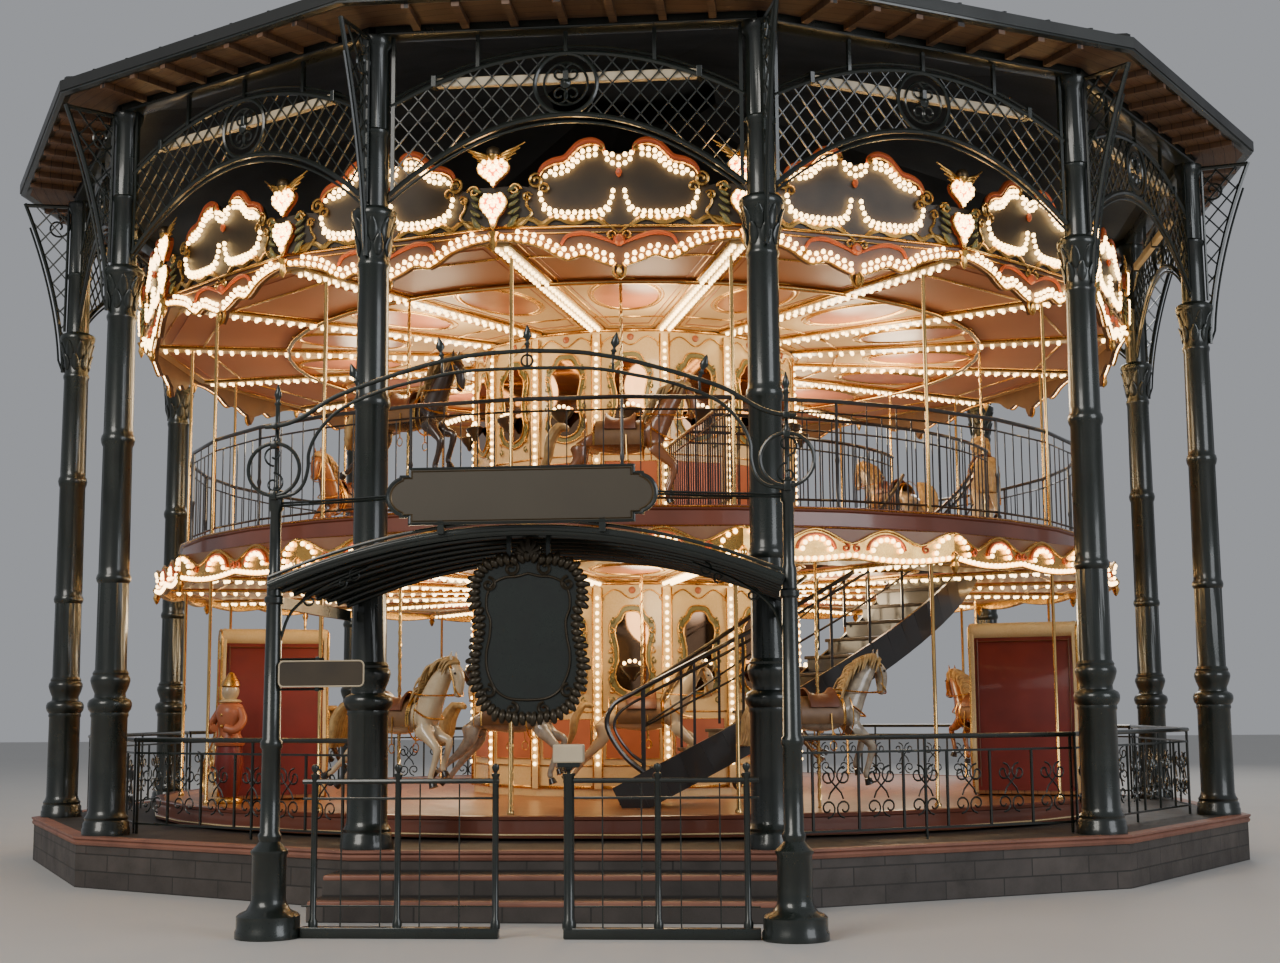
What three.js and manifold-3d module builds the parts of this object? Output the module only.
import * as THREE from 'three';
import { mergeVertices } from 'three/addons/utils/BufferGeometryUtils.js';
import Module from 'manifold-3d';

// A two-storey fairground carousel that turns inside a twelve-sided iron
// pavilion with an entrance portal. Millimetres, +Z up. The origin is on the
// axis at the underside of the plinth, and the entrance faces -Y.

// Driving dimensions of the pavilion
const BAYS = 12;
const BAY_TURN = 360 / BAYS;
const PLINTH_RADIUS = 7090;
const PLINTH_TOP = 480;
const COLUMN_CIRCLE = 6790;
const COLUMN_TOP = 7800;
const WALL_PLATE_TOP = 7900;
const WALL_PLATE_WIDTH = 200;
const EAVE_RADIUS = 7520;
const SEAT_GAP = 0.3;
const SHAFT_AT_CANOPY = 157;

// Driving dimensions of the turning part
const PANELS = 16;
const PANEL_TURN = 360 / PANELS;
const REST_TURN = 4;
const MAST_RADIUS = 250;
const MAST_TOP = 6500;
const DRUM_RADIUS = 2000;
const LOWER_DECK_RADIUS = 5700;
const LOWER_DECK_BOTTOM = 500;
const LOWER_FLOOR = 700;
const LOWER_CEILING = 3120;
const UPPER_DECK_RADIUS = 5500;
const UPPER_FLOOR = 3550;
const LOWER_CROWN_RADIUS = 5780;
const UPPER_CEILING = 6050;
const UPPER_CROWN_RADIUS = 6010;
const CROWN_THICKNESS = 45;

// Driving dimensions of the stair, which climbs round the drum
const STAIR_INNER = 3400;
const STAIR_OUTER = 4300;
const STAIR_START = -1;
const STAIR_SWEEP = 70;
const RISERS = 15;

// Driving dimensions of the riders
const POLE_RADIUS = 22;
const POLE_HOLE = 24.6;
const OUTER_ROW = 4900;
const INNER_ROW = 3880;
const STAIR_ROW = 2850;
const GALLOP = 100;

// Driving dimensions of the portal
const PORTAL_Y = -8750;
const PORTAL_HALF = 1955;
const PORTAL_BASE = 250;
const PORTAL_COLLAR = 58;

const wasm = await Module();
wasm.setup();
const TAU = Math.PI * 2;
const radians = THREE.MathUtils.degToRad;

// Finishes
const finish = (color, roughness, metalness) =>
  new THREE.MeshStandardMaterial({ color, roughness, metalness });
const IRON = finish(0x1d211d, 0.35, 0.4);
const STONE = finish(0x35302b, 0.7, 0);
const CREAM = finish(0xe8d6a4, 0.4, 0);
const GOLD = finish(0xc9963a, 0.3, 0.7);
const RED = finish(0x7c2317, 0.4, 0);
const FLOOR = finish(0xa8683a, 0.5, 0);
const ROOF = finish(0x2b2a2a, 0.45, 0.5);
const STEEL = finish(0x5a5a58, 0.4, 0.8);

// Closed solids, joined and cut

function toSolid(geometry) {
  const bare = geometry.index ? geometry.clone() : geometry;
  bare.deleteAttribute('normal');
  bare.deleteAttribute('uv');
  const merged = mergeVertices(bare, 1e-3);
  return new wasm.Manifold(new wasm.Mesh({
    numProp: 3,
    vertProperties: new Float32Array(merged.attributes.position.array),
    triVerts: new Uint32Array(merged.index.array),
  }));
}

function toGeometry(solid) {
  const mesh = solid.getMesh();
  const geometry = new THREE.BufferGeometry();
  geometry.setAttribute('position', new THREE.BufferAttribute(new Float32Array(mesh.vertProperties), 3));
  geometry.setIndex(new THREE.BufferAttribute(new Uint32Array(mesh.triVerts), 1));
  geometry.computeVertexNormals();
  return geometry;
}

function join(pieces) {
  let whole = toSolid(pieces[0]);
  for (const piece of pieces.slice(1)) {
    whole = whole.add(toSolid(piece));
  }
  return toGeometry(whole);
}

function cut(body, tools) {
  let left = toSolid(body);
  for (const tool of tools) {
    left = left.subtract(toSolid(tool));
  }
  return toGeometry(left);
}

// Basic forms. A turn of t degrees carries the front, -Y, towards +X.

function polar(radius, degrees) {
  const angle = radians(degrees);
  return new THREE.Vector2(radius * Math.sin(angle), -radius * Math.cos(angle));
}

function polygon(sides, radius, firstTurn = 0) {
  const corners = [];
  for (let i = 0; i < sides; i++) {
    corners.push(polar(radius, firstTurn + (i * 360) / sides));
  }
  return corners;
}

function prism(outline, bottom, top, holes = []) {
  const shape = new THREE.Shape(outline);
  for (const hole of holes) {
    shape.holes.push(new THREE.Path(hole));
  }
  const body = new THREE.ExtrudeGeometry(shape, { depth: top - bottom, bevelEnabled: false });
  return body.translate(0, 0, bottom);
}

// A plate standing in the XZ plane, centred on y
function plate(outline, y, thickness, holes = []) {
  const body = prism(outline, 0, thickness, holes);
  return body.rotateX(Math.PI / 2).translate(0, y + thickness / 2, 0);
}

function box(width, depth, height, x, y, z) {
  return new THREE.BoxGeometry(width, depth, height).translate(x, y, z + height / 2);
}

function post(radius, bottom, top, x = 0, y = 0, sides = 8) {
  const body = new THREE.CylinderGeometry(radius, radius, top - bottom, sides);
  return body.rotateX(Math.PI / 2).translate(x, y, (bottom + top) / 2);
}

// Turned pieces, from [radius, height] pairs that start and end on the axis
function turned(profile, sides) {
  const points = profile.map(([radius, height]) => new THREE.Vector2(radius, height));
  return new THREE.LatheGeometry(points, sides).rotateX(Math.PI / 2);
}

function rectangle(left, right, low, high) {
  return [
    new THREE.Vector2(left, low), new THREE.Vector2(right, low),
    new THREE.Vector2(right, high), new THREE.Vector2(left, high),
  ];
}

function disc(x, z, radius, sides) {
  const corners = [];
  for (let i = 0; i < sides; i++) {
    const angle = (TAU * i) / sides;
    corners.push(new THREE.Vector2(x + radius * Math.cos(angle), z + radius * Math.sin(angle)));
  }
  return corners;
}

// Part of a ring seen from above, between two turns
function sector(inner, outer, from, to, steps) {
  const corners = [];
  for (let i = 0; i <= steps; i++) {
    corners.push(polar(outer, from + ((to - from) * i) / steps));
  }
  for (let i = steps; i >= 0; i--) {
    corners.push(polar(inner, from + ((to - from) * i) / steps));
  }
  return corners;
}

// A bar with a square section between two points
function bar(from, to, width, depth = width) {
  const start = new THREE.Vector3(...from);
  const end = new THREE.Vector3(...to);
  const length = start.distanceTo(end);
  const along = end.clone().sub(start).normalize();
  const body = new THREE.BoxGeometry(width, depth, length).translate(0, 0, length / 2);
  const turn = new THREE.Quaternion().setFromUnitVectors(new THREE.Vector3(0, 0, 1), along);
  return body.applyQuaternion(turn).translate(...from);
}

// A tapered limb with few sides between two points
function limb(from, to, startRadius, endRadius, sides = 6, flatness = 1) {
  const start = new THREE.Vector3(...from);
  const end = new THREE.Vector3(...to);
  const length = start.distanceTo(end);
  const along = end.clone().sub(start).normalize();
  const body = new THREE.CylinderGeometry(endRadius, startRadius, length, sides);
  body.scale(1, 1, flatness).translate(0, length / 2, 0);
  const turn = new THREE.Quaternion().setFromUnitVectors(new THREE.Vector3(0, 1, 0), along);
  return body.applyQuaternion(turn).translate(...from);
}

// A wall of boards round the axis, with flat sides and its own edge line
function boardRing(sides, radius, thickness, topAt, bottomAt, stepsPerSide) {
  const positions = [];
  const index = [];
  const total = sides * stepsPerSide;
  const sideTurn = 360 / sides;
  const apothem = radius * Math.cos(radians(sideTurn / 2));
  for (let i = 0; i < total; i++) {
    const across = (i % stepsPerSide) / stepsPerSide;
    const side = Math.floor(i / stepsPerSide);
    const offset = (across * 2 - 1) * apothem * Math.tan(radians(sideTurn / 2));
    const turn = side * sideTurn;
    for (const [distance, height] of [
      [0, topAt(across)], [0, bottomAt(across)], [thickness, bottomAt(across)], [thickness, topAt(across)],
    ]) {
      const flat = new THREE.Vector2(offset * (1 - distance / apothem), -(apothem - distance));
      flat.rotateAround(new THREE.Vector2(0, 0), radians(turn));
      positions.push(flat.x, flat.y, height);
    }
  }
  for (let i = 0; i < total; i++) {
    const here = i * 4;
    const next = ((i + 1) % total) * 4;
    for (let k = 0; k < 4; k++) {
      const other = (k + 1) % 4;
      index.push(here + k, here + other, next + other);
      index.push(here + k, next + other, next + k);
    }
  }
  const geometry = new THREE.BufferGeometry();
  geometry.setAttribute('position', new THREE.Float32BufferAttribute(positions, 3));
  geometry.setIndex(index);
  geometry.computeVertexNormals();
  return geometry;
}

const part = new THREE.Group();
const pavilion = new THREE.Group();
const turning = new THREE.Group();
turning.rotation.z = radians(REST_TURN);
part.add(pavilion, turning);

function piece(parent, name, geometry, material, turn = 0) {
  const mesh = new THREE.Mesh(geometry, material);
  mesh.name = name;
  mesh.rotation.z = radians(turn);
  parent.add(mesh);
  return mesh;
}

// The plinth and the two steps of the entrance bay

const STEP_HALF = 1930;
const STEP_FRONTS = [-7350, -7820];
const STEP_TOPS = [320, 160];
const plinthFace = -PLINTH_RADIUS * Math.cos(radians(BAY_TURN / 2));
piece(pavilion, 'plinth', prism(polygon(BAYS, PLINTH_RADIUS, BAY_TURN / 2), 0, PLINTH_TOP), STONE);

function entranceSteps() {
  const back = plinthFace - SEAT_GAP;
  const profile = [
    new THREE.Vector2(-back, 0), new THREE.Vector2(-STEP_FRONTS[1], 0),
    new THREE.Vector2(-STEP_FRONTS[1], STEP_TOPS[1]), new THREE.Vector2(-STEP_FRONTS[0], STEP_TOPS[1]),
    new THREE.Vector2(-STEP_FRONTS[0], STEP_TOPS[0]), new THREE.Vector2(-back, STEP_TOPS[0]),
  ];
  return plate(profile, 0, STEP_HALF * 2).rotateZ(-Math.PI / 2);
}
piece(pavilion, 'entrance_steps', entranceSteps(), STONE);

// Columns, each with its outward bracket under the eave

const SHAFT_TOP_RADIUS = 130;
function column() {
  const shaft = turned([
    [0, PLINTH_TOP], [235, PLINTH_TOP], [235, 620], [180, 690], [180, 1680], [215, 1760],
    [150, 1860], [195, 2000], [160, 2080], [140, 5900], [205, 6130], [SHAFT_TOP_RADIUS, 6200],
    [SHAFT_TOP_RADIUS, COLUMN_TOP], [0, COLUMN_TOP],
  ], 8);
  const reach = EAVE_RADIUS - COLUMN_CIRCLE - 60;
  const outline = [
    new THREE.Vector2(60, 6250), new THREE.Vector2(190, 6500), new THREE.Vector2(330, 6980),
    new THREE.Vector2(reach, 7560), new THREE.Vector2(reach, COLUMN_TOP), new THREE.Vector2(60, COLUMN_TOP),
  ];
  const opening = [
    new THREE.Vector2(170, 6720), new THREE.Vector2(290, 7110), new THREE.Vector2(540, 7620),
    new THREE.Vector2(170, 7700),
  ];
  const bracket = plate(outline, 0, 50, [opening]).rotateZ(-Math.PI / 2);
  return join([shaft, bracket]).translate(0, -COLUMN_CIRCLE, 0);
}
const columnForm = column();
for (let i = 0; i < BAYS; i++) {
  const name = `column_${String(i + 1).padStart(2, '0')}`;
  piece(pavilion, name, columnForm, IRON, BAY_TURN * (i + 0.5));
}

// Arched lattice friezes, hung from the wall plate in runs of three bays

const FRIEZE_HALF = COLUMN_CIRCLE * Math.sin(radians(BAY_TURN / 2)) - SHAFT_TOP_RADIUS - 3;
const FRIEZE_Y = -COLUMN_CIRCLE * Math.cos(radians(BAY_TURN / 2));
const LOWER_ARCH = { spring: 6300, apex: 7000 };
const UPPER_ARCH = { spring: 7150, apex: 7600 };
const archHeight = (arch, x) => arch.apex - (arch.apex - arch.spring) * (x / FRIEZE_HALF) ** 2;

function friezeBay() {
  const steps = 6;
  const outline = [];
  for (let i = 0; i <= steps; i++) {
    const x = -FRIEZE_HALF + (2 * FRIEZE_HALF * i) / steps;
    outline.push(new THREE.Vector2(x, archHeight(LOWER_ARCH, x)));
  }
  for (let i = steps; i >= 0; i--) {
    const x = -FRIEZE_HALF + (2 * FRIEZE_HALF * i) / steps;
    outline.push(new THREE.Vector2(x, archHeight(UPPER_ARCH, x)));
  }
  const holes = [disc(0, 7300, 230, 8)];
  for (const x of [620, 1000, 1380]) {
    for (const side of [-1, 1]) {
      const low = archHeight(LOWER_ARCH, x) + 110;
      const high = archHeight(UPPER_ARCH, x) - 110;
      holes.push([
        new THREE.Vector2(side * x, low), new THREE.Vector2(side * x + 150, (low + high) / 2),
        new THREE.Vector2(side * x, high), new THREE.Vector2(side * x - 150, (low + high) / 2),
      ]);
    }
  }
  const lattice = plate(outline, FRIEZE_Y, 40, holes);
  const hangers = [-FRIEZE_HALF + 40, 0, FRIEZE_HALF - 40].map((x) =>
    box(60, 36, COLUMN_TOP + 20 - archHeight(UPPER_ARCH, x) + 60, x, FRIEZE_Y, archHeight(UPPER_ARCH, x) - 60));
  const tie = box(FRIEZE_HALF * 1.5, 70, 90, 0, FRIEZE_Y + 50, 7330);
  return join([lattice, ...hangers, tie]);
}

function wallPlate(bays) {
  const ends = (BAY_TURN * bays) / 2 - 0.02;
  const inner = COLUMN_CIRCLE - WALL_PLATE_WIDTH / 2;
  const outer = COLUMN_CIRCLE + WALL_PLATE_WIDTH / 2;
  return prism(sector(inner, outer, -ends, ends, bays), COLUMN_TOP, WALL_PLATE_TOP);
}

const bayForm = friezeBay();
const friezeRun = join([wallPlate(3), ...[-1, 0, 1].map((i) => bayForm.clone().rotateZ(radians(i * BAY_TURN)))]);
['front', 'right', 'back', 'left'].forEach((side, i) => {
  piece(pavilion, `frieze_${side}`, friezeRun, IRON, i * 3 * BAY_TURN);
});

// Railings, which run just inside the columns round all bays but the entrance

const RAIL_CIRCLE = 6500;
const RAIL_TOP = 1420;
function railingRun(bays) {
  const half = (BAY_TURN * bays) / 2;
  const rail = (low, high, depth) =>
    prism(sector(RAIL_CIRCLE - depth / 2, RAIL_CIRCLE + depth / 2, -half + 0.15, half - 0.15, bays), low, high);
  const pieces = [rail(RAIL_TOP - 45, RAIL_TOP, 60), rail(560, 600, 50)];
  const chord = -RAIL_CIRCLE * Math.cos(radians(BAY_TURN / 2));
  for (let i = 0; i < bays; i++) {
    const panel = box(1500, 24, RAIL_TOP - 610, 0, chord, 590);
    pieces.push(panel.rotateZ(radians(-half + (i + 0.5) * BAY_TURN)));
  }
  for (let i = 0; i <= bays; i++) {
    const turn = Math.min(Math.max(-half + i * BAY_TURN, -half + 0.5), half - 0.5);
    const place = polar(RAIL_CIRCLE, turn);
    pieces.push(post(30, PLINTH_TOP, RAIL_TOP - 20, place.x, place.y, 6));
  }
  return join(pieces);
}
const threeBayRail = railingRun(3);
piece(pavilion, 'railing_right', threeBayRail, IRON, 60);
piece(pavilion, 'railing_back_right', threeBayRail, IRON, 150);
piece(pavilion, 'railing_back_left', threeBayRail, IRON, 240);
piece(pavilion, 'railing_left', railingRun(2), IRON, 315);

// Roof and its cap

const ROOF_HOLE = 1100;
const ROOF_TOP = 9700;
function roof() {
  const profile = [
    new THREE.Vector2(ROOF_HOLE, 9500), new THREE.Vector2(6560, WALL_PLATE_TOP),
    new THREE.Vector2(EAVE_RADIUS, WALL_PLATE_TOP), new THREE.Vector2(EAVE_RADIUS, WALL_PLATE_TOP + 110),
    new THREE.Vector2(ROOF_HOLE, ROOF_TOP), new THREE.Vector2(ROOF_HOLE, 9500),
  ];
  return new THREE.LatheGeometry(profile, BAYS).rotateX(Math.PI / 2);
}
piece(pavilion, 'roof', roof(), ROOF, BAY_TURN / 2);
piece(pavilion, 'roof_cap', turned([
  [0, ROOF_TOP], [1250, ROOF_TOP], [1250, 9780], [420, 10120], [180, 10300], [60, 10420],
  [130, 10560], [60, 10700], [0, 11100],
], BAYS), ROOF, BAY_TURN / 2);

// Centre mast, which carries the turning part on its head
piece(pavilion, 'centre_mast', post(MAST_RADIUS, PLINTH_TOP, MAST_TOP, 0, 0, 24), STEEL);


// Lower deck and the drums round the mast

const RIM_STEPS = 32;
const BORE = MAST_RADIUS + 12;
const FIRST_SIDE = PANEL_TURN / 2;

// Places of the galloping horses of the lower storey, as [row radius, turn]
const GALLOPERS = [
  [OUTER_ROW, -27.5], [INNER_ROW, -18], [STAIR_ROW, 2.5], [INNER_ROW, 202.5],
  [OUTER_ROW, 22.5], [OUTER_ROW, 112.5], [OUTER_ROW, 157.5], [OUTER_ROW, 202.5], [OUTER_ROW, 247.5],
];
// Places of the riders of the upper storey, as [turn, how much higher or lower they hang]
const UPPER_RIDERS = [[-32.5, 300], [-0.5, -60], [83, 0], [125, 100], [180, -60], [247.5, 50]];
const UPPER_ROW = 4300;

function lowerDeck() {
  const deck = prism(polygon(RIM_STEPS, LOWER_DECK_RADIUS), LOWER_DECK_BOTTOM, LOWER_FLOOR, [polygon(16, BORE)]);
  const places = GALLOPERS.map(([radius, turn]) => polar(radius, turn));
  return cut(deck, places.map((place) => post(POLE_HOLE, LOWER_DECK_BOTTOM - 10, LOWER_FLOOR + 10, place.x, place.y)));
}
piece(turning, 'lower_deck', lowerDeck(), FLOOR);

function drum(radius, bottom, top) {
  return prism(polygon(PANELS, radius, FIRST_SIDE), bottom, top, [polygon(16, BORE)]);
}
piece(turning, 'lower_drum', drum(DRUM_RADIUS, LOWER_FLOOR, LOWER_CEILING), CREAM);
piece(turning, 'upper_drum', drum(DRUM_RADIUS, UPPER_FLOOR, UPPER_CEILING), CREAM);

// The slabs end at the inner faces of the crowns' boards
const insideCrown = (radius) => radius - (CROWN_THICKNESS + SEAT_GAP) / Math.cos(radians(FIRST_SIDE));

// Upper deck: ceiling of the lower storey, floor, and the stair's opening

const CEILING_TOP = 3350;
const OPENING_START = STAIR_START + 15;
const OPENING_END = STAIR_START + STAIR_SWEEP + 1;
function upperDeck() {
  const opening = () => sector(STAIR_INNER - 60, STAIR_OUTER + 60, OPENING_START, OPENING_END, 8);
  const ceiling = prism(polygon(PANELS, insideCrown(LOWER_CROWN_RADIUS), FIRST_SIDE), LOWER_CEILING, CEILING_TOP,
    [polygon(16, BORE), opening()]);
  const floor = prism(polygon(RIM_STEPS, UPPER_DECK_RADIUS), CEILING_TOP, UPPER_FLOOR, [polygon(16, BORE), opening()]);
  const holes = GALLOPERS.map(([radius, turn]) => {
    const place = polar(radius, turn);
    return post(POLE_HOLE, LOWER_CEILING - 10, LOWER_CEILING + 380, place.x, place.y, 8);
  });
  return cut(join([ceiling, floor]), holes);
}
piece(turning, 'upper_deck', upperDeck(), RED);

// Top ceiling, whose hub turns on the head of the mast
function topCeiling() {
  const outline = polygon(PANELS, insideCrown(UPPER_CROWN_RADIUS), FIRST_SIDE);
  const slab = prism(outline, UPPER_CEILING, UPPER_CEILING + 100, [polygon(16, BORE)]);
  const hub = post(BORE + 110, UPPER_CEILING, MAST_TOP + 160, 0, 0, 16);
  const bearing = post(BORE, UPPER_CEILING - 10, MAST_TOP + SEAT_GAP, 0, 0, 16);
  return cut(join([slab, hub]), [bearing]);
}
piece(turning, 'top_ceiling', topCeiling(), CREAM);

// Crowns of rounding boards. Across runs from 0 to 1 over one panel.

const wave = (across, lobes) => Math.abs(Math.sin(Math.PI * lobes * across));
const upperTop = (across) => 6880 + 130 * Math.sin(Math.PI * across) ** 0.5;
const upperBottom = (across) => 5930 - 90 * wave(across, 3) - 190 * Math.exp(-(((across - 0.5) / 0.07) ** 2));
piece(turning, 'upper_crown', boardRing(PANELS, UPPER_CROWN_RADIUS, CROWN_THICKNESS, upperTop, upperBottom, 8), GOLD, FIRST_SIDE - PANEL_TURN / 2);
const lowerTop = (across) => 3210 + 130 * Math.abs(Math.cos(3 * Math.PI * across));
const lowerBottom = (across) => 3070 - 50 * wave(across, 2);
piece(turning, 'lower_crown', boardRing(PANELS, LOWER_CROWN_RADIUS, CROWN_THICKNESS, lowerTop, lowerBottom, 6), GOLD);

// Stair round the drum, with its handrails

const TREADS = RISERS - 1;
const RISER = (UPPER_FLOOR - LOWER_FLOOR) / RISERS;
const TREAD_TURN = STAIR_SWEEP / TREADS;
function stair() {
  const pieces = [];
  for (let i = 0; i < TREADS; i++) {
    const top = LOWER_FLOOR + (i + 1) * RISER;
    const from = STAIR_START + i * TREAD_TURN - (i ? 0.15 : 0);
    const low = Math.max(LOWER_FLOOR, top - RISER - 90);
    pieces.push(prism(sector(STAIR_INNER, STAIR_OUTER, from, STAIR_START + (i + 1) * TREAD_TURN, 1), low, top));
  }
  for (const radius of [STAIR_INNER + 40, STAIR_OUTER - 40]) {
    const heads = [];
    for (const i of [0, 4, 8, TREADS - 0.4]) {
      const place = polar(radius, STAIR_START + (i + 0.2) * TREAD_TURN);
      const foot = LOWER_FLOOR + (Math.floor(i + 0.2) + 1) * RISER - 30;
      const head = foot + 960;
      pieces.push(post(20, foot, head, place.x, place.y, 6));
      heads.push([place.x, place.y, head - 20]);
    }
    for (let i = 0; i + 1 < heads.length; i++) {
      pieces.push(bar(heads[i], heads[i + 1], 36));
    }
  }
  return join(pieces);
}
piece(turning, 'stair', stair(), IRON);

// Railing round the upper deck, and the guard beside the stair's opening

const GUARD_TOP = UPPER_FLOOR + 1090;
function ringRail(radius, bottom, top, width, steps) {
  return prism(polygon(steps, radius), bottom, top, [polygon(steps, radius - width)]);
}
function upperRailing() {
  const outer = UPPER_DECK_RADIUS - 60;
  const pieces = [ringRail(outer, GUARD_TOP - 45, GUARD_TOP, 45, RIM_STEPS),
    ringRail(outer, UPPER_FLOOR + 90, UPPER_FLOOR + 120, 45, RIM_STEPS)];
  for (let i = 0; i < RIM_STEPS; i += 2) {
    const place = polar(outer - 22, (i * 360) / RIM_STEPS);
    pieces.push(box(34, 34, GUARD_TOP - UPPER_FLOOR - 10, 0, 0, UPPER_FLOOR)
      .rotateZ(radians((i * 360) / RIM_STEPS)).translate(place.x, place.y, 0));
  }
  return join(pieces);
}
piece(turning, 'upper_railing', upperRailing(), IRON);

function stairGuard() {
  const from = FIRST_SIDE;
  const to = OPENING_END;
  const pieces = [];
  for (const guard of [STAIR_INNER - 110, STAIR_OUTER + 110]) {
    const rail = (low, high) => prism(sector(guard - 20, guard + 20, from, to, 6), low, high);
    pieces.push(rail(GUARD_TOP - 40, GUARD_TOP), rail(UPPER_FLOOR + 100, UPPER_FLOOR + 130));
    for (let i = 0; i <= 5; i++) {
      const place = polar(guard, from + 0.5 + ((to - from - 1) * i) / 5);
      pieces.push(box(30, 30, GUARD_TOP - UPPER_FLOOR - 10, place.x, place.y, UPPER_FLOOR));
    }
  }
  // A fence out from the drum, on the low side of the opening
  const near = DRUM_RADIUS + 20;
  const far = UPPER_DECK_RADIUS - 160;
  const radial = (width, height, low) => box(width, far - near, height, 0, -(far + near) / 2, low).rotateZ(radians(FIRST_SIDE));
  pieces.push(radial(40, 40, GUARD_TOP - 40), radial(30, 30, UPPER_FLOOR + 100));
  for (let i = 1; i <= 4; i++) {
    const place = polar(near + ((far - near) * i) / 4 - 20, FIRST_SIDE);
    pieces.push(box(30, 30, GUARD_TOP - UPPER_FLOOR - 10, place.x, place.y, UPPER_FLOOR));
  }
  return join(pieces);
}
piece(turning, 'stair_guard', stairGuard(), IRON);

// Horses. A horse is made at the origin, leaping towards +X, with its pole on
// the Z axis and its back at the saddle height.

const SADDLE = LOWER_FLOOR + 1100;
const HORSE_LENGTH = 0.86;
function horse(poleBottom, poleTop) {
  const torso = turned([
    [0, -610], [190, -480], [190, 0], [205, 320], [0, 560],
  ], 6).rotateY(Math.PI / 2).scale(HORSE_LENGTH, 0.82, 1.05).translate(0, 0, SADDLE - 200);
  const profile = (pairs) => pairs.map(([x, z]) => new THREE.Vector2(x * HORSE_LENGTH, SADDLE + z));
  const head = plate(profile([
    [260, -90], [430, -330], [640, 110], [870, 60], [900, 130], [700, 420], [540, 440], [380, 230],
  ]), 0, 150);
  const tail = plate(profile([[-540, -140], [-800, -500], [-860, -470], [-640, -60]]), 0, 70);
  const pieces = [torso, head, tail];
  for (const side of [-1, 1]) {
    const lift = side * 50;
    pieces.push(plate(profile([
      [300, -330], [560, -560 + lift], [500, -800 + lift], [580, -800 + lift], [700, -470 + lift], [480, -220],
    ]), side * 90, 90));
    pieces.push(plate(profile([
      [-560, -200], [-680, -560], [-960 - lift, -800], [-900 - lift, -860], [-570, -600], [-300, -320],
    ]), side * 100, 100));
  }
  pieces.push(post(POLE_RADIUS, poleBottom, poleTop, 0, 0, 6));
  return join(pieces);
}

// Set on a row, a horse faces along the ring towards growing turn
function setOnRow(geometry, radius, turn, lift) {
  const place = polar(radius, turn);
  return geometry.clone().rotateZ(radians(turn)).translate(place.x, place.y, lift);
}

// At the top of its travel a pole still stands in its hole in the deck
const gallopForm = horse(LOWER_FLOOR - GALLOP - 5, LOWER_CEILING + GALLOP * 2);
GALLOPERS.forEach(([radius, turn], i) => {
  const form = gallopForm.clone().rotateZ(radians(turn));
  const mesh = piece(turning, `horse_${String(i + 1).padStart(2, '0')}`, form, CREAM);
  const place = polar(radius, turn);
  mesh.position.set(place.x, place.y, 0);
});

// Riders of the upper storey, hung from one ring below its ceiling
const HANGER_RING = UPPER_CEILING - 60;
function upperRiders() {
  const rise = UPPER_FLOOR - LOWER_FLOOR;
  const ring = prism(polygon(PANELS, UPPER_ROW + 100), HANGER_RING, HANGER_RING + 60, [polygon(PANELS, UPPER_ROW - 20)]);
  return join([ring, ...UPPER_RIDERS.map(([turn, higher]) => {
    const lift = rise + higher;
    return setOnRow(horse(UPPER_FLOOR - lift, HANGER_RING + 30 - lift), UPPER_ROW, turn, lift);
  })]);
}
piece(turning, 'upper_riders', upperRiders(), CREAM);

// Two carriages of the lower storey, facing along the ring

const CARRIAGE_ROW = 4550;
function carriage() {
  const side = [
    [-620, 0], [560, 0], [700, 160], [640, 420], [380, 470], [120, 560], [-260, 700], [-420, 1250],
    [-430, 1780], [-560, 1890], [-700, 1800], [-660, 1100], [-720, 500],
  ].map(([x, z]) => new THREE.Vector2(x, z));
  const left = plate(side, 560, 60);
  const right = plate(side, -560, 60);
  const back = plate([
    [-600, 380], [-480, 380], [-440, 700], [-470, 1760], [-560, 1860], [-660, 1760], [-630, 700],
  ].map(([x, z]) => new THREE.Vector2(x, z)), 0, 1120);
  const seat = box(620, 1120, 380, -220, 0, 60);
  const floor = box(1180, 1120, 80, -20, 0, 0);
  return join([left, right, back, seat, floor]).translate(0, 0, LOWER_FLOOR);
}
const carriageForm = carriage();
piece(turning, 'carriage_right', setOnRow(carriageForm, CARRIAGE_ROW + 350, 68, 0), RED);
piece(turning, 'carriage_left', setOnRow(carriageForm.clone().rotateZ(Math.PI), CARRIAGE_ROW, -68, 0), RED);

// Entrance portal in front of the open bay

function portalPost() {
  return turned([
    [0, 0], [PORTAL_BASE, 0], [PORTAL_BASE, 180], [130, 260], [130, 620], [75, 700],
    [PORTAL_COLLAR, 2500], [PORTAL_COLLAR, 2700], [42, 2720], [42, 3190], [PORTAL_COLLAR, 3200],
    [PORTAL_COLLAR, 3340], [22, 3350], [18, 4040], [34, 4080], [0, 4180],
  ], 8);
}
piece(pavilion, 'portal_post_left', portalPost().translate(-PORTAL_HALF, PORTAL_Y, 0), IRON);
piece(pavilion, 'portal_post_right', portalPost().translate(PORTAL_HALF, PORTAL_Y, 0), IRON);

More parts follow.
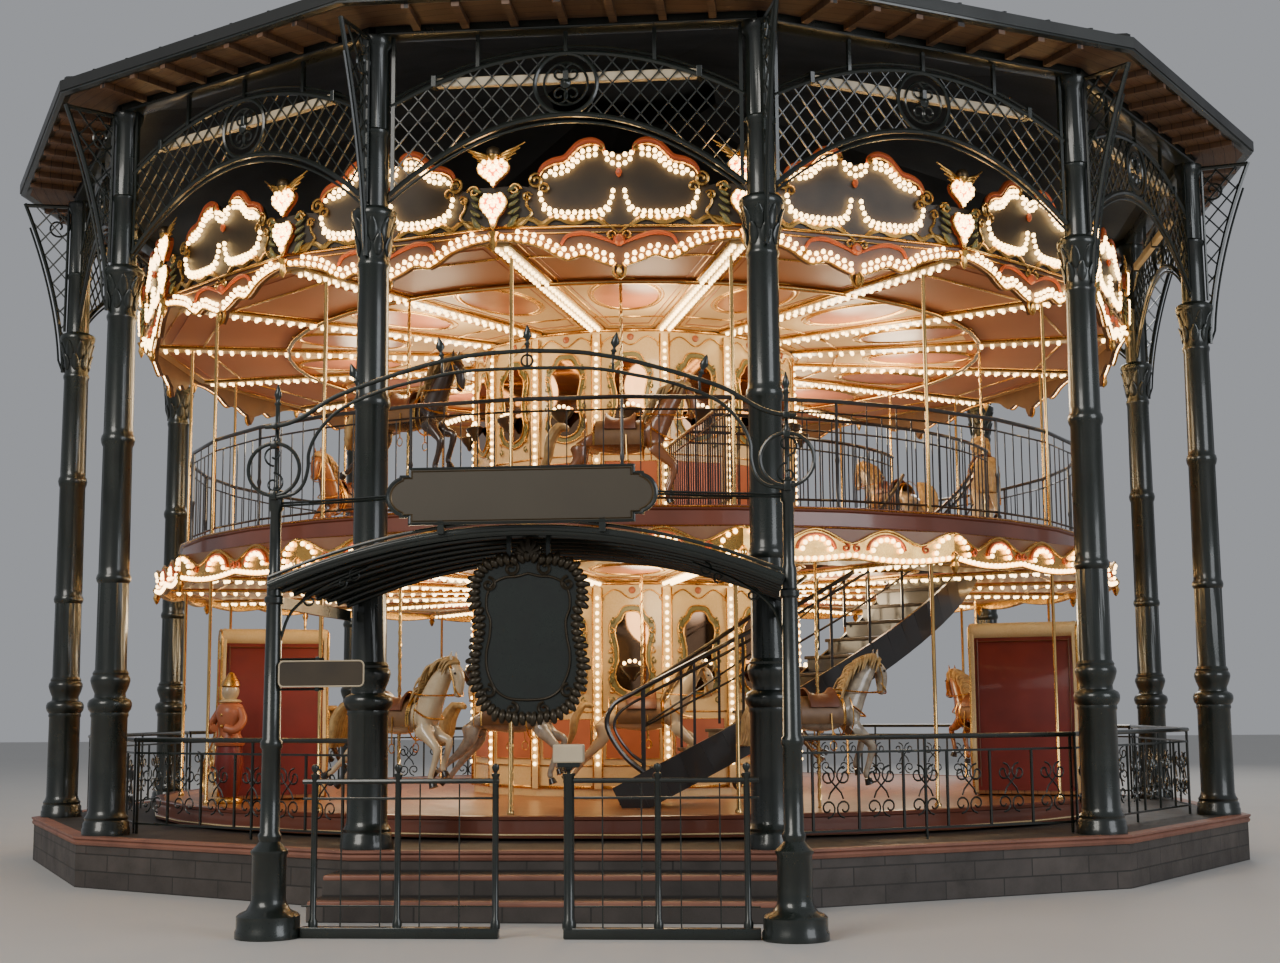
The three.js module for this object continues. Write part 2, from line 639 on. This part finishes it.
const CANOPY = { spring: 2607, apex: 3000, front: PORTAL_Y - 330, half: PORTAL_HALF - 45 };
CANOPY.back = -(COLUMN_CIRCLE + SHAFT_AT_CANOPY) * Math.cos(radians(BAY_TURN / 2)) - SEAT_GAP;
const canopyCurve = (x) => CANOPY.apex - (CANOPY.apex - CANOPY.spring) * (x / CANOPY.half) ** 2;
const CANOPY_STEPS = 14;
function canopyHeight(x) {
  const width = (2 * CANOPY.half) / CANOPY_STEPS;
  const left = Math.floor(x / width) * width;
  return canopyCurve(left) + ((canopyCurve(left + width) - canopyCurve(left)) * (x - left)) / width;
}
function canopy() {
  const steps = CANOPY_STEPS;
  const strip = [];
  for (let i = 0; i <= steps; i++) {
    const x = -CANOPY.half + (2 * CANOPY.half * i) / steps;
    strip.push(new THREE.Vector2(x, canopyHeight(x) - 30));
  }
  for (let i = steps; i >= 0; i--) {
    const x = -CANOPY.half + (2 * CANOPY.half * i) / steps;
    strip.push(new THREE.Vector2(x, canopyHeight(x) + 20));
  }
  const shell = plate(strip, (CANOPY.front + CANOPY.back) / 2, CANOPY.back - CANOPY.front);
  const passages = [-1, 1].map((side) => post(PORTAL_COLLAR + 0.4, 2400, 2800, side * PORTAL_HALF, PORTAL_Y));
  return cut(shell, passages);
}
piece(pavilion, 'portal_canopy', canopy(), IRON);

// Arcs as [distance from the middle, height]. The inner one ends in the rings round the posts.
const OVERTHROW_Y = PORTAL_Y - PORTAL_COLLAR - SEAT_GAP - 18;
const OUTER_ARC = [
  [0, 4375], [400, 4352], [750, 4288], [1080, 4195], [1350, 4105], [1500, 4045], [1620, 3975], [1740, 3900],
  [1850, 3855], [1955, 3835], [2030, 3830],
];
const INNER_ARC = [
  [0, 4240], [500, 4225], [850, 4160], [1080, 4105], [1290, 4030], [1450, 3950], [1560, 3850], [1640, 3740],
  [1685, 3620], [1690, 3500], [1725, 3380], [1800, 3310], [1940, 3280],
];
const RING_Z = 3500;
function arcHeight(arc, x) {
  const end = arc.findIndex(([distance]) => distance > x);
  const [[x0, z0], [x1, z1]] = [arc[end - 1], arc[end]];
  return z0 + ((z1 - z0) * (x - x0)) / (x1 - x0);
}
function overthrow() {
  const strip = (arc) => {
    const edge = (side) => arc.map(([x, z], i) => {
      const [before, after] = [arc[Math.max(0, i - 1)], arc[Math.min(arc.length - 1, i + 1)]];
      const length = Math.hypot(after[0] - before[0], after[1] - before[1]);
      const across = i ? (side * 17 * (before[1] - after[1])) / length : 0;
      return [x + across, z + (side * 17 * (after[0] - before[0])) / length];
    });
    const mirrored = (line) => line.slice(1).map(([x, z]) => [-x, z]);
    const [upper, lower] = [edge(1), edge(-1)];
    const outline = [...mirrored(upper).reverse(), ...upper, ...lower.reverse(), ...mirrored(edge(-1))];
    return plate(outline.map(([x, z]) => new THREE.Vector2(x, z)), OVERTHROW_Y, 36);
  };
  const pieces = [strip(OUTER_ARC), strip(INNER_ARC)];
  for (const side of [-1, 1]) {
    const ring = disc(side * PORTAL_HALF, RING_Z, 215, 16);
    pieces.push(plate(ring, OVERTHROW_Y, 36, [disc(side * PORTAL_HALF, RING_Z, 180, 16)]));
    pieces.push(box(60, 30, 60, side * PORTAL_HALF, OVERTHROW_Y, RING_Z - 245));
  }
  // Finials on the outer arc, over the ties between the arcs
  for (const x of [-1310, -655, 0, 655, 1310]) {
    const high = arcHeight(OUTER_ARC, Math.abs(x));
    const low = arcHeight(INNER_ARC, Math.abs(x));
    pieces.push(box(24, 24, high - low + 180, x, OVERTHROW_Y, low - 20));
  }
  return join(pieces);
}
piece(pavilion, 'portal_overthrow', overthrow(), IRON);

// Bare boards: the sign board on the canopy and the shield below it
function signBoard() {
  const outline = [
    [-880, 3030], [880, 3030], [880, 3070], [1000, 3130], [1000, 3340], [880, 3400], [880, 3440],
    [-880, 3440], [-880, 3400], [-1000, 3340], [-1000, 3130], [-880, 3070],
  ].map(([x, z]) => new THREE.Vector2(x, z));
  const y = CANOPY.front - SEAT_GAP - 25;
  const board = plate(outline, y, 50);
  const feet = [-600, 600].map((x) => box(60, 50, 3060 - canopyHeight(x), x, y, canopyHeight(x) - 20));
  return join([board, ...feet]);
}
piece(pavilion, 'sign_board', signBoard(), IRON);
function shieldBoard() {
  const outline = [
    [-200, 1560], [200, 1560], [380, 1660], [450, 1900], [400, 2250], [450, 2560], [300, 2800], [0, 2850],
    [-300, 2800], [-450, 2560], [-400, 2250], [-450, 1900], [-380, 1660],
  ].map(([x, z]) => new THREE.Vector2(x, z));
  const board = plate(outline, PORTAL_Y, 70);
  const hangers = [-150, 150].map((x) =>
    box(40, 40, canopyHeight(Math.abs(x) + 20) - 30 - SEAT_GAP - 2780, x, PORTAL_Y, 2780));
  return join([board, ...hangers]);
}
piece(pavilion, 'shield_board', shieldBoard(), IRON);

// Low fences on both sides of the passage
function fence(left, right, uprights) {
  const pieces = [
    box(right - left, 40, 36, (left + right) / 2, PORTAL_Y, 1120),
    box(right - left, 30, 24, (left + right) / 2, PORTAL_Y, 1010),
    box(right - left, 90, 80, (left + right) / 2, PORTAL_Y, 0),
  ];
  for (const x of uprights) {
    pieces.push(post(26, 40, 1270, x, PORTAL_Y, 6));
  }
  return join(pieces);
}
piece(pavilion, 'fence_left', fence(-PORTAL_HALF + PORTAL_BASE + SEAT_GAP, -220, [-1560, -940, -246]), IRON);
piece(pavilion, 'fence_right', fence(262, PORTAL_HALF - PORTAL_BASE - SEAT_GAP, [288, 980, 1560]), IRON);

export default part;
